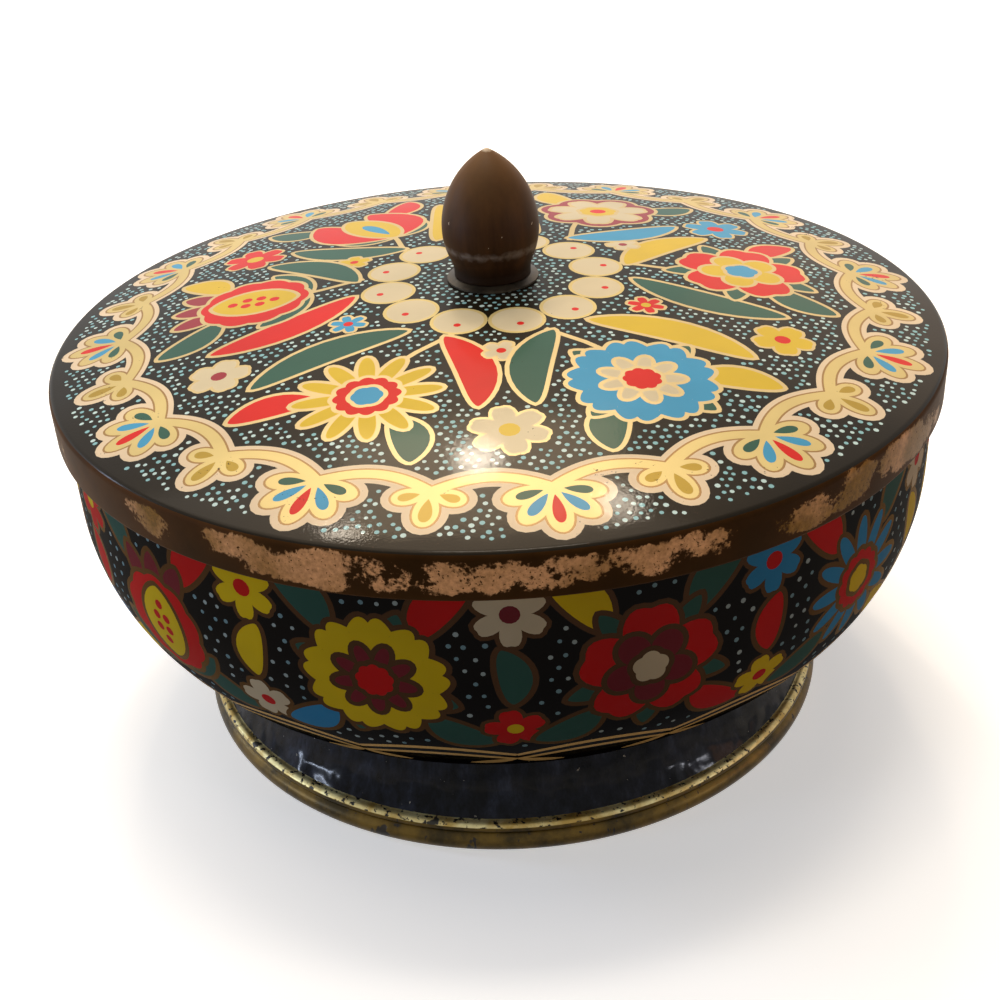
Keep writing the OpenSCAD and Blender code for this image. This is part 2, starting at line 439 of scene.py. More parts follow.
def lithographedTin(name, look):
    finish, tree, shader, coords = newFinish(name)
    inks = look["inks"]
    stops = [(k / len(inkNames), inks[each]) for k, each in enumerate(inkNames) if each in inks]
    ink = node(tree, "Attribute", attribute_name="ink").outputs["Fac"]
    shine = node(tree, "Attribute", attribute_name="shine").outputs["Fac"]
    colour = node(tree, "ValToRGB", [ink], stops, "CONSTANT")
    cloud = node(tree, "TexNoise", {"Vector": coords, "Scale": per(litho["cloud"]), "Detail": 4})
    tint = node(tree, "MapRange", [cloud, 0.3, 0.7, 0.9, 1.05])
    toned = node(tree, "Mix", {0: 1.0, 6: colour, 7: tint}, data_type="RGBA", blend_type="MULTIPLY")
    # rubs gather towards the rim, where hands lift the lid
    flat = node(tree, "VectorMath", [coords, (1, 1, 0)], operation="MULTIPLY")
    out = node(tree, "VectorMath", [flat], operation="LENGTH")
    edge = node(tree, "MapRange", [out, look["rubInner"] * mm, look["rubOuter"] * mm, 0.0, 0.05])
    rub = node(tree, "TexNoise", {"Vector": coords, "Scale": per(litho["rub"]), "Detail": 5,
                                  "Roughness": 0.65})
    patch = node(tree, "TexNoise", {"Vector": coords, "Scale": per(litho["rubPatch"]), "Detail": 2})
    both = node(tree, "Mix", {0: 0.4, 2: rub, 3: patch})
    level = node(tree, "Math", [both, edge], operation="ADD")
    worn = node(tree, "MapRange", [level, look["rubFrom"], look["rubFrom"] + 0.02])
    wave = node(tree, "TexNoise", {"Vector": coords, "Scale": per(litho["wave"]), "Detail": 1})
    bent = node(tree, "Bump", {"Height": wave, "Distance": litho["waveDepth"] * mm})
    peel = node(tree, "TexNoise", {"Vector": coords, "Scale": per(look["peel"]), "Detail": 2})
    skin = node(tree, "Bump", {"Height": peel, "Distance": look["peelDepth"] * mm, "Normal": bent})
    rough = node(tree, "MapRange", [cloud, 0, 1, look["roughness"] - 0.06, look["roughness"] + 0.1])
    wire(shader, {"Base Color": node(tree, "Mix", {0: worn, 6: toned, 7: litho["rubbed"]}, data_type="RGBA"),
                  "Metallic": shine, "Roughness": rough, "Normal": skin, "Coat Normal": skin,
                  "Specular IOR Level": look["specular"], "Specular Tint": litho["sheen"],
                  "Coat Weight": look["coat"], "Coat Roughness": look["coatRough"]})
    return finish


# Gilt lacquer on the skirt, worn by the hand: a pitted coppery stripe with crumbled edges, broken by
# gaps, between margins of smooth dark brown patina. One side is worn down to the patina.
gilt = {"olive": "6a4a16", "copper": "b6865d", "patina": "4a2e14", "deep": "36220d", "gap": 17.0,
        "crumb": 0.9, "tone": 15.0, "pit": 0.55, "pitDepth": 0.03, "margin": 0.36, "left": 0.547,
        "wornFrom": -24.0, "wornTo": -72.0, "sheenFront": (-8.0, -98.0), "spread": 54.0}


def wornGilt(low, high):
    finish, tree, shader, coords = newFinish("worn gilt tinplate")
    place = node(tree, "SeparateXYZ", [coords]).outputs
    across = node(tree, "MapRange", [place["Z"], low * mm, high * mm, -1.0, 1.0])
    square = node(tree, "Math", [across, across], operation="MULTIPLY")
    margin = node(tree, "Math", [square, square], operation="MULTIPLY")
    gap = node(tree, "TexNoise", {"Vector": coords, "Scale": per(gilt["gap"]), "Detail": 7,
                                  "Roughness": 0.55})
    crumb = node(tree, "TexNoise", {"Vector": coords, "Scale": per(gilt["crumb"]), "Detail": 6,
                                    "Roughness": 0.6})
    bare = node(tree, "MapRange", [place["X"], gilt["wornFrom"] * mm, gilt["wornTo"] * mm, 0.0, -0.14])
    # more of it is left round the front, where its copper tone is a painted sheen
    sheenFront = tuple(c * mm for c in (*gilt["sheenFront"], (low + high) / 2))
    reach = node(tree, "VectorMath", [coords, sheenFront], operation="DISTANCE")
    nearPaintedLight = node(tree, "MapRange", [reach, gilt["spread"] * mm, 0.45 * gilt["spread"] * mm, 0.0, 0.18])
    level = node(tree, "Math", [margin, -gilt["margin"], gap], operation="MULTIPLY_ADD")
    level = node(tree, "Math", [nearPaintedLight, 0.13, level], operation="MULTIPLY_ADD")
    level = node(tree, "Math", [crumb, 0.2, level], operation="MULTIPLY_ADD")
    level = node(tree, "Math", [level, bare], operation="ADD")
    left = node(tree, "MapRange", [level, gilt["left"], gilt["left"] + 0.03])
    # pits crowd where the gilt is thin
    pit = node(tree, "TexNoise", {"Vector": coords, "Scale": per(gilt["pit"]), "Detail": 4})
    pit = node(tree, "Math", [level, -0.35, pit], operation="MULTIPLY_ADD")
    kept = node(tree, "Math", [left, node(tree, "MapRange", [pit, 0.45, 0.41])], operation="MULTIPLY")
    tone = node(tree, "TexNoise", {"Vector": coords, "Scale": per(gilt["tone"]), "Detail": 5})
    # painted sheen: the tone turns to copper towards the front
    tone = node(tree, "Math", [tone, nearPaintedLight], operation="ADD")
    gold = node(tree, "ValToRGB", [tone], [(0.46, gilt["olive"]), (0.76, gilt["copper"])])
    fine = node(tree, "MapRange", [crumb, 0.3, 0.7, 0.62, 1.2])
    gold = node(tree, "Mix", {0: 1.0, 6: gold, 7: fine}, data_type="RGBA", blend_type="MULTIPLY")
    dark = node(tree, "ValToRGB", [gap], [(0.35, gilt["deep"]), (0.6, gilt["patina"])])
    wire(shader, {"Base Color": node(tree, "Mix", {0: kept, 6: dark, 7: gold}, data_type="RGBA"),
                  "Metallic": node(tree, "MapRange", [kept, 0, 1, 0.0, 0.3]),
                  "Roughness": node(tree, "MapRange", [kept, 0, 1, 0.5, 0.42]),
                  "Normal": node(tree, "Bump", {"Height": kept, "Distance": gilt["pitDepth"] * mm}),
                  "Specular IOR Level": 0.02})
    return finish


# Gold food lacquer on the inside of the tinplate: warm, satin, with faint rolling marks
inside = {"lacquer": "b9975a", "deep": "9a7a44", "roll": 9.0}


def lacqueredInside():
    finish, tree, shader, coords = newFinish("gold lacquered tinplate")
    drawn = node(tree, "Mapping", {"Vector": coords, "Scale": (1, 0.05, 1)})
    rolled = node(tree, "TexNoise", {"Vector": drawn, "Scale": per(inside["roll"]), "Detail": 6})
    colour = node(tree, "ValToRGB", [rolled], [(0.35, inside["deep"]), (0.65, inside["lacquer"])])
    rough = node(tree, "MapRange", [rolled, 0, 1, 0.28, 0.45])
    wire(shader, {"Base Color": colour, "Roughness": rough, "Metallic": 0.75})
    return finish


# Stoved black enamel over a hand-rolled foot: deep blue-black gloss, wavy reflections, bluish streaks painted
# into its colour as reflections, a few tiny chips
enamel = {"black": "06070b", "paintedReflection": "20232d", "paintedStreak": "3d4352", "chip": "b8b0a0", "reflectionSize": 5.0,
          "wave": 6.0, "waveDepth": 0.7, "speck": 1.4}


def blackEnamel():
    finish, tree, shader, coords = newFinish("stoved black enamel")
    tall = node(tree, "Mapping", {"Vector": coords, "Scale": (1, 1, 0.3)})
    size = per(enamel["reflectionSize"])
    # painted reflection: bluish streaks in the black colour, stretched up the foot like windows mirrored in
    # wavy enamel
    paintedReflection = node(tree, "TexNoise", {"Vector": tall, "Scale": size, "Detail": 8, "Roughness": 0.68})
    stops = [(0.42, enamel["black"]), (0.56, enamel["paintedReflection"]), (0.72, enamel["paintedStreak"])]
    base = node(tree, "ValToRGB", [paintedReflection], stops)
    speck = node(tree, "TexNoise", {"Vector": coords, "Scale": per(enamel["speck"]), "Detail": 3})
    chip = node(tree, "MapRange", [speck, 0.73, 0.75])
    wave = node(tree, "TexNoise", {"Vector": coords, "Scale": per(enamel["wave"]), "Detail": 1})
    wire(shader, {"Base Color": node(tree, "Mix", {0: chip, 6: base, 7: enamel["chip"]}, data_type="RGBA"),
                  "Roughness": node(tree, "MapRange", [paintedReflection, 0, 1, 0.04, 0.22]),
                  "Normal": node(tree, "Bump", {"Height": wave, "Distance": enamel["waveDepth"] * mm}),
                  "Specular IOR Level": 0.08})
    return finish


# Gold lacquer on the rolled hem, as a lit and a shaded copy. The ridge is pale and bright, a painted
# highlight, with black chips; the roll below it is a dark olive metal, partly painted shade and partly
# rubbing, with upright cracks, because chips there are drawn out along the height.
hemGold = {
    "ridge": {"pale": "ebdda0", "deep": "b8984e", "gone": "14100a", "patch": 6.0, "chip": 1.4, "tall": 1.0,
              "from": 0.575, "metal": 0.4, "spell": 7.0, "bareFrom": 0.63, "bare": "37332a"},
    "roll": {"pale": "70571f", "deep": "352a0e", "gone": "191208", "patch": 8.0, "chip": 1.5, "tall": 0.06,
             "from": 0.64, "metal": 0.45, "spell": 9.0, "bareFrom": 0.66, "bare": "2a2112"},
    "chipDepth": 0.04,
}


def chippedGold(name, look):
    finish, tree, shader, coords = newFinish(name)
    patch = node(tree, "TexNoise", {"Vector": coords, "Scale": per(look["patch"]), "Detail": 6,
                                    "Roughness": 0.6})
    gold = node(tree, "ValToRGB", [patch], [(0.38, look["deep"]), (0.62, look["pale"])])
    # whole spells of the hem are rubbed bare, with short ragged ends
    spell = node(tree, "TexNoise", {"Vector": coords, "Scale": per(look["spell"]), "Detail": 4})
    bare = node(tree, "MapRange", [spell, look["bareFrom"], look["bareFrom"] + 0.012])
    rubbed = node(tree, "Mix", {0: bare, 6: gold, 7: look["bare"]}, data_type="RGBA")
    drawn = node(tree, "Mapping", {"Vector": coords, "Scale": (1, 1, look["tall"])})
    chip = node(tree, "TexNoise", {"Vector": drawn, "Scale": per(look["chip"]), "Detail": 4,
                                   "Roughness": 0.6})
    chip = node(tree, "MapRange", [chip, look["from"], look["from"] + 0.02])
    gone = node(tree, "Math", [chip, bare], operation="MAXIMUM")
    wire(shader, {"Base Color": node(tree, "Mix", {0: chip, 6: rubbed, 7: look["gone"]}, data_type="RGBA"),
                  "Metallic": node(tree, "MapRange", [gone, 0, 1, look["metal"], 0.0]),
                  "Roughness": node(tree, "MapRange", [patch, 0, 1, 0.28, 0.5]),
                  "Normal": node(tree, "Bump", {"Height": gone, "Distance": -hemGold["chipDepth"] * mm}),
                  "Specular IOR Level": 0.25})
    return finish


# Turned beech under dark brown lacquer: satin, with faint turning lines, lighter towards the top as painted
# light from above, darker over the neck as painted shade, bare at the rubbed tip,
# and with a ring of painted grey reflection over the neck
# the high colour is painted light on the top, the neck colour painted shade, and the grey ring colour a
# painted reflection
wood = {"dark": "2d1a0b", "warm": "4a2f18", "high": "745434", "rub": "cdb9a0", "paintedReflection": "8a7f76",
        "neck": "1d1006", "turning": 0.55, "turnDepth": 0.02, "grain": 3.0, "speck": 1.6, "reflectionAt": 7.2,
        "reflectionW": 2.0, "tipH": 0.9, "topLightH": 15.0, "neckShadeFrom": 4.5, "neckShadeTo": 2.0}


def lacqueredWood(baseZ, tipZ):
    finish, tree, shader, coords = newFinish("dark lacquered turned wood")
    drawn = node(tree, "Mapping", {"Vector": coords, "Scale": (1, 1, 0.12)})
    grain = node(tree, "TexNoise", {"Vector": drawn, "Scale": per(wood["grain"]), "Detail": 6,
                                    "Roughness": 0.6})
    colour = node(tree, "ValToRGB", [grain], [(0.3, wood["dark"]), (0.7, wood["warm"])])
    height = node(tree, "SeparateXYZ", [coords]).outputs["Z"]
    # painted light from above: the colour lightens towards the tip
    up = node(tree, "MapRange", [height, (tipZ - wood["topLightH"]) * mm, tipZ * mm, 0.0, 0.8])
    colour = node(tree, "Mix", {0: up, 6: colour, 7: wood["high"]}, data_type="RGBA")
    # painted shade: the colour darkens over the neck, under the bud
    neckShadeFrom, neckShadeTo = ((baseZ + wood[each]) * mm for each in ("neckShadeFrom", "neckShadeTo"))
    down = node(tree, "MapRange", [height, neckShadeFrom, neckShadeTo, 0.0, 0.85])
    colour = node(tree, "Mix", {0: down, 6: colour, 7: wood["neck"]}, data_type="RGBA")
    speck = node(tree, "TexNoise", {"Vector": coords, "Scale": per(wood["speck"]), "Detail": 5})
    # how near a point is to the middle of the ring of painted grey reflection over the neck, broken up by the
    # specks
    off = node(tree, "Math", [height, (baseZ + wood["reflectionAt"]) * mm], operation="SUBTRACT")
    off = node(tree, "Math", [off], operation="ABSOLUTE")
    nearPaintedLight = node(tree, "MapRange", [off, wood["reflectionW"] * mm, 0.0])
    reflectionRing = node(tree, "Math", [nearPaintedLight, speck], operation="MULTIPLY")
    reflectionRing = node(tree, "MapRange", [reflectionRing, 0.2, 0.55, 0.0, 0.6])
    colour = node(tree, "Mix", {0: reflectionRing, 6: colour, 7: wood["paintedReflection"]}, data_type="RGBA")
    tip = node(tree, "MapRange", [height, (tipZ - wood["tipH"]) * mm, tipZ * mm])
    bare = node(tree, "Math", [tip, speck], operation="MULTIPLY")
    bare = node(tree, "MapRange", [bare, 0.2, 0.45])
    fleck = node(tree, "MapRange", [speck, 0.735, 0.755])
    bare = node(tree, "Math", [bare, fleck], operation="MAXIMUM")
    rings = node(tree, "Mapping", {"Vector": coords, "Scale": (0.02, 0.02, 1)})
    line = node(tree, "TexNoise", {"Vector": rings, "Scale": per(wood["turning"]), "Detail": 2})
    wire(shader, {"Base Color": node(tree, "Mix", {0: bare, 6: colour, 7: wood["rub"]}, data_type="RGBA"),
                  "Roughness": node(tree, "MapRange", [grain, 0, 1, 0.42, 0.58]),
                  "Normal": node(tree, "Bump", {"Height": line, "Distance": wood["turnDepth"] * mm}),
                  "Specular IOR Level": 0.1})
    return finish


# Bronzed pressed metal: dull grey-olive brown with darker spots
bronze = {"dark": "30291f", "warm": "4e4435", "spot": 4.0}


def bronzedMetal():
    finish, tree, shader, coords = newFinish("bronzed pressed metal")
    spot = node(tree, "TexNoise", {"Vector": coords, "Scale": per(bronze["spot"]), "Detail": 6})
    colour = node(tree, "ValToRGB", [spot], [(0.4, bronze["dark"]), (0.65, bronze["warm"])])
    rough = node(tree, "MapRange", [spot, 0, 1, 0.3, 0.55])
    wire(shader, {"Base Color": colour, "Roughness": rough, "Metallic": 0.6})
    return finish


# Zinc-plated steel: cool grey with faint spangle and dull handling marks
zinc = {"light": "a9adb0", "dull": "7d8184", "spangle": 1.4}


def zincSteel():
    finish, tree, shader, coords = newFinish("zinc plated steel")
    spangle = node(tree, "TexVoronoi", {"Vector": coords, "Scale": per(zinc["spangle"])}).outputs["Color"]
    grey = node(tree, "SeparateXYZ", [spangle])
    colour = node(tree, "ValToRGB", [grey], [(0.0, zinc["dull"]), (1.0, zinc["light"])])
    rough = node(tree, "MapRange", [grey, 0, 1, 0.3, 0.45])
    wire(shader, {"Base Color": colour, "Roughness": rough, "Metallic": 1.0})
    return finish


lidTin = lithographedTin("lithographed tinplate lid", litho["lid"])
bowlTin = lithographedTin("lithographed tinplate bowl", litho["bowl"])
goldInside = lacqueredInside()
footEnamel = blackEnamel()
ridgeGold = chippedGold("bright gold ridge", hemGold["ridge"])
rollGold = chippedGold("shaded and rubbed gold roll", hemGold["roll"])
steel = zincSteel()
print("finishes made")

# Lid

lidLow, lidHigh = boxOf("lid_shell")
lid = {"r": lidHigh[0], "low": lidLow[2], "top": lidHigh[2], "domeR": 480.0, "shoulderR": 1.7,
       "beadR": 0.7, "holeR": 2.2, "giltA": 42.0, "giltStripe": (-0.2, 10.4),
       "line": 0.95, "dotStep": 2.05, "dotSizes": (0.4, 0.58), "dotRoom": 0.3, "dotJitter": 0.2,
       "dotEdge": 2.5, "seed": 7, "netR": (8, 96, 5), "netTurns": 72}
lid["domeZ"] = lid["top"] - math.sqrt(lid["domeR"] ** 2 - lid["holeR"] ** 2)
lid["shoulderC"] = lid["r"] - lid["shoulderR"]
lid["shoulderZ"] = lid["domeZ"] + math.sqrt((lid["domeR"] - lid["shoulderR"]) ** 2 - lid["shoulderC"] ** 2)
lid["shoulderA"] = math.degrees(math.atan2(lid["shoulderZ"] - lid["domeZ"], lid["shoulderC"]))
lid["edgeR"] = lid["shoulderC"] + polar(lid["shoulderR"], lid["shoulderA"])[0]
giltBand = wornGilt(*(lid["low"] + up for up in lid["giltStripe"]))

# border of shells hung on swags, twelve large and twelve small
border = {"count": 12, "start": -83.9, "cuspR": 84.0, "rise": 4.0, "swag": 5.3, "tan": 3.1, "band": 2.3,
          "halo": 1.9, "lip": 0.45, "root": 1.9, "short": (4.3, 3.1), "narrow": (2.6, 2.2),
          "large": [(-76, 9.6, 5.4, "green"), (76, 9.6, 5.4, "green"), (-38, 11.0, 5.6, "blue"),
                    (38, 11.0, 5.6, "blue"), (0, 11.8, 5.6, "red")],
          "small": [(-70, 7.2, 5.0, "ochre"), (70, 7.2, 5.0, "ochre"), (0, 9.2, 5.4, "ochre")]}


def borderShapes():
    layers = {"halo": [], "tan": [], "band": [], "drops": []}
    step = 360 / border["count"] / 2
    for k in range(2 * border["count"]):
        angle = border["start"] + step * k
        root = polar(border["cuspR"], angle)
        for turn, length, width, ink in border["small" if k % 2 else "large"]:
            lobe = turned(drop(length, width, 0.45), angle + turn, root)
            layers["halo"].append(("halo", grown(lobe, border["halo"])))
            layers["tan"].append(("tan", grown(lobe, border["lip"])))
            layers["band"].append(("band", lobe))
            inner = drop(length - border["short"][k % 2], width - border["narrow"][k % 2], 0.9)
            inner = turned(inner, angle + turn, polar(border["root"], angle + turn))
            layers["drops"].append((ink, turned(inner, 0, root)))
        path = []
        for j in range(19):
            u = j / 18
            path.append(polar(border["cuspR"] - border["rise"] * 4 * u * (1 - u), angle + step * u))
        for ink, width in (("halo", "swag"), ("tan", "tan"), ("band", "band")):
            layers[ink].append((ink, stroke(path, border[width])))
    return layers["halo"] + layers["tan"] + layers["band"] + layers["drops"]


# ring of cream berries round the knob
berries = {"count": 12, "start": -78.8, "ringR": 24.0, "r": 5.4, "line": 0.8, "eyeR": 0.8, "eyeAt": 1.9}


def berryShapes():
    shapes = []
    for k in range(berries["count"]):
        angle = berries["start"] + 360 / berries["count"] * k
        draw = penAt(shapes, polar(berries["ringR"], angle), angle, berries["line"])
        draw("band", disc(berries["r"] + berries["line"]), False)
        draw("cream", disc(berries["r"]), False)
        draw("red", disc(berries["eyeR"], (berries["eyeAt"], 0.3), 12), False)
    return shapes


# six sprays round the berries; x runs outwards along the spray and y across it
spray = {
    "at": [-117, -60, 4, 61, 124, 180],
    "blooms": [(sunDaisy, 15.0, 57, ("yellow", "yellow", "red", "blue")),
               (cornflower, 15.2, 57, ("blue", "cream", "red", "green")),
               (hedgeRose, 15.4, 57, ("red", "yellow", "blue", "green")),
               (anemone, 14.8, 57, ("maroon", "cream", "yellow", "red")),
               (tulip, 13.6, 42, ("red", "yellow", "blue", "green")),
               (pomegranate, 13.4, 42, ("red", "yellow", "maroon", "green", "red"))],
    # root x and y, turn, length, width and bend of each leaf, and its place in the list of inks
    "leaves": [(31, -5, -34, 36, 8.6, -3.0, 0), (31, 4, 40, 29, 8.0, 3.0, 1),
               (62, 9, 40, 15, 7.2, 1.6, 2), (61, -9, -50, 18, 7.4, -1.8, 3)],
    "leafInks": [("green", "red", "green", "red"), ("yellow", "green", "green", "yellow"),
                 ("green", "yellow", "red", "green"), ("green", "blue", "green", "yellow"),
                 ("yellow", "green", "green", "red"), ("red", "green", "yellow", "green")],
    # little flowers on the line between two sprays: distance out, radius and petals, by the side they meet on
    "between": [[(66.0, 8.0, 6), (37.0, 4.0, 5)], [(67.5, 6.6, 5), (37.0, 4.2, 6)]],
    "smallInks": [("cream", "yellow"), ("yellow", "red"), ("blue", "red"), ("cream", "red"),
                  ("red", "yellow"), ("cream", "maroon")],
    "stem": [(29.5, 5), (34, 3.4), (39, 1.4), (44, 0)], "stemW": 1.3,
}


def sprayShapes():
    shapes = []
    count = len(spray["at"])
    for k, angle in enumerate(spray["at"]):
        side = -1 if k % 2 else 1

        def outwards(x, y):
            return turned([(x, y * side)], angle)[0]

        path = [outwards(x, y) for x, y in spray["stem"]]
        shapes.append(("gold", stroke(path, spray["stemW"])))
        for (x, y, turn, length, width, bend, j) in spray["leaves"]:
            draw = penAt(shapes, outwards(x, y), angle + turn * side, lid["line"])
            draw(spray["leafInks"][k][j], leafShape(length, width, bend * side))
        bloom, size, at, inks = spray["blooms"][k]
        bloom(penAt(shapes, outwards(at, 0), angle, lid["line"]), size, inks)
        after = spray["at"][(k + 1) % count] + (360 if k == count - 1 else 0)
        for j, (out, size, petals) in enumerate(spray["between"][k % 2]):
            middle = (angle + after) / 2
            draw = penAt(shapes, polar(out, middle), middle, lid["line"] * 0.7)
            littleFlower(draw, size, petals, spray["smallInks"][(k + 3 * j) % 6])
    return shapes


def hexSpots(step, reach, jitter, dice):
    spots = []
    rows = int(reach / step / rowStep) + 1
    for j in range(-rows, rows + 1):
        for k in range(-rows, rows + 1):
            x = (k + 0.5 * (j % 2) + dice.uniform(-jitter, jitter)) * step
            y = (j * rowStep + dice.uniform(-jitter, jitter)) * step
            if math.hypot(x, y) < reach:
                spots.append((x, y, 1))
    return spots


def lidSurface(x, y):
    return (x, y, lid["domeZ"] + math.sqrt(lid["domeR"] ** 2 - x * x - y * y))


# on the map: print as a disc, skirt as four strips above it, inside as a small disc at the corner
lidSheet = {"print": (0.41, 0.41, 0.004), "inside": (0.905, 0.09, 0.0008), "strip": (0.01, 0.832, 0.8),
            "stripStep": 0.042, "stripH": 0.038, "skirtH": 12}


def lidMap(face, r, z, middle, turn):
    finish = lidPiece.data.materials[face.material_index]
    if finish == giltBand:
        row = int((middle + 180) // 90)
        left, low, wide = lidSheet["strip"]
        up = low + lidSheet["stripStep"] * row + (z - lid["low"]) / lidSheet["skirtH"] * lidSheet["stripH"]
        return (left + (turn + 180 - 90 * row) / 90 * wide, up)
    reach = r if finish == lidTin else r + max(0, lid["shoulderZ"] - z)
    left, low, scale = lidSheet["print" if finish == lidTin else "inside"]
    x, y = polar(reach, turn)
    return (left + scale * x, low + scale * y)


def makeLid():
    dice = random.Random(lid["seed"])
    edge = [polar(lid["edgeR"], 360 * k / turnSteps) for k in range(turnSteps)]
    shapes = [("ground", edge)] + sprayShapes() + borderShapes() + berryShapes()
    spots = hexSpots(lid["dotStep"], lid["edgeR"] - lid["dotEdge"], lid["dotJitter"], dice)
    shapes += groundDots(shapes, spots, lid["dotRoom"], lid["dotSizes"], dice)
    shapes.append(("hole", disc(lid["holeR"], (0, 0), 32)))
    turns = lid["netTurns"]
    loose = [polar(r, 360 / turns * k) for r in range(*lid["netR"]) for k in range(turns)]
    top = printedMesh("lidTop", flatMap(shapes, loose), lidSurface)
    top.data.materials.append(lidTin)
    beadC, beadZ = lid["r"] - lid["beadR"], lid["low"] + lid["beadR"]
    beadEnd = math.degrees(math.acos((lid["beadR"] - sheetT) / lid["beadR"])) - 360
    shoulder = (lid["shoulderC"], lid["shoulderZ"])
    holeA = math.degrees(math.acos(lid["holeR"] / (lid["domeR"] - sheetT)))
    stretches = [
        (lidTin, arc(shoulder, lid["shoulderR"], lid["shoulderA"], lid["giltA"], 6)),
        (giltBand, arc(shoulder, lid["shoulderR"], lid["giltA"], 0, 6)
         + arc((beadC, beadZ), lid["beadR"], 0, -90, 6)),
        (goldInside, arc((beadC, beadZ), lid["beadR"], -90, beadEnd, 14)
         + arc(shoulder, lid["shoulderR"] - sheetT, 0, lid["shoulderA"], 8)
         + arc((0, lid["domeZ"]), lid["domeR"] - sheetT, lid["shoulderA"], holeA, 24)),
    ]
    profile = [p for finish, points in stretches for p in points]
    piece = spunPiece("lidShell", profile)
    giveFinishes(piece, stretches)
    joinPieces(piece, top)
    placePiece(piece, "lid", "printed_tin_lid", "lid_shell")
    return piece


lidPiece = makeLid()
bakeMap(lidPiece, lidMap)
print("lid", len(lidPiece.data.polygons), "faces")

# Bowl

bowlLow, bowlHigh = boxOf("bowl_shell")
bowl = {"r": bowlHigh[0], "floorZ": bowlLow[2], "rimZ": bowlHigh[2], "bellyR": 46.5, "beadR": 1.0,
        "startA": -70.0, "line": 1.15, "groups": 12, "dotStep": 3.3, "dotSizes": (0.44, 0.58),
        "dotRoom": 0.5, "dotLow": 33.0, "dotJitter": 0.14, "seed": 11, "netRows": 32}
bowl["floorR"] = bowl["r"] - bowl["bellyR"]
bowl["bellyZ"] = bowl["floorZ"] + bowl["bellyR"]
bowl["bellyLen"] = math.radians(-bowl["startA"]) * bowl["bellyR"]
bowl["wallTop"] = bowl["rimZ"] - bowl["beadR"]
bowl["printH"] = bowl["bellyLen"] + bowl["wallTop"] - bowl["bellyZ"]
bowl["turn"] = 2 * math.pi * bowl["r"]


# radius and height of the printed wall at a length up from the foot
def wallAt(up):
    if up > bowl["bellyLen"]:
        return bowl["r"], bowl["bellyZ"] + up - bowl["bellyLen"]
    x, y = polar(bowl["bellyR"], bowl["startA"] + math.degrees(up / bowl["bellyR"]))
    return bowl["floorR"] + x, bowl["bellyZ"] + y


def bowlSurface(x, up):
    r, z = wallAt(min(max(up, 0), bowl["printH"]))
    px, py = polar(r, math.degrees(x / bowl["r"]) - 90)
    return (px, py, z)


# one group of flowers, x across and y up from the foot; every other group is mirrored
garden = {
    "blooms": [(hedgeRose, 14.5, ("red", "maroon", "cream", "green")),
               (sunDaisy, 14.5, ("blue", "blue", "red", "yellow")),
               (tulip, 13.5, ("yellow", "maroon", "red", "green")),
               (anemone, 14.0, ("maroon", "red", "yellow", "cream")),
               (pomegranate, 12.5, ("red", "yellow", "maroon", "green", "red")),
               (cornflower, 14.5, ("yellow", "maroon", "red", "green"))],
    "growing": (tulip, pomegranate), "bloomAt": (0, 54), "bloomFoot": (0, 40),
    # root x and y, turn, length, width and bend of each leaf, and its place in the list of inks
    "leaves": [(8, 64, 48, 16, 7.5, 1.6, 0), (-8, 64, 132, 16, 7.5, -1.6, 1),
               (9, 45, -34, 15, 7.2, -1.4, 2), (-9, 45, 214, 15, 7.2, 1.4, 3)],
    "leafInks": [("green", "yellow", "red", "green"), ("red", "green", "green", "yellow"),
                 ("green", "red", "blue", "green")],
    # in the gap between two groups: a leaf, and two little flowers by height, radius and petals
    "gapLeaf": (49, 82, 13, 6.2, 1.4), "gapInks": ("red", "yellow", "green"),
    "small": [(69.5, 7.4, 6), (41.5, 6.2, 5)],
    "smallInks": [("cream", "maroon"), ("red", "yellow"), ("blue", "red"), ("yellow", "red"),
                  ("cream", "red")],
    # double scalloped line under the flowers, with two thin leaves below each cusp
    "edgeAt": (26.4, 29.4), "edgeRise": 4.0, "edgeW": 1.3, "edgeCount": 18,
    "tails": [(-16, 11.0, 3.2, -0.6), (196, 11.0, 3.2, 0.6)],
}


# the part of an outline that lies within half a turn of the middle
def cutAtSeam(outline):
    for way in (1, -1):
        limit = way * bowl["turn"] / 2
        kept = []
        for (ax, ay), (bx, by) in zip(outline, outline[1:] + outline[:1]):
            isIn, isNextIn = way * ax <= way * limit, way * bx <= way * limit
            if isIn:
                kept.append((ax, ay))
            if isIn != isNextIn:
                kept.append((limit, ay + (by - ay) * (limit - ax) / (bx - ax)))
        outline = kept
    return outline


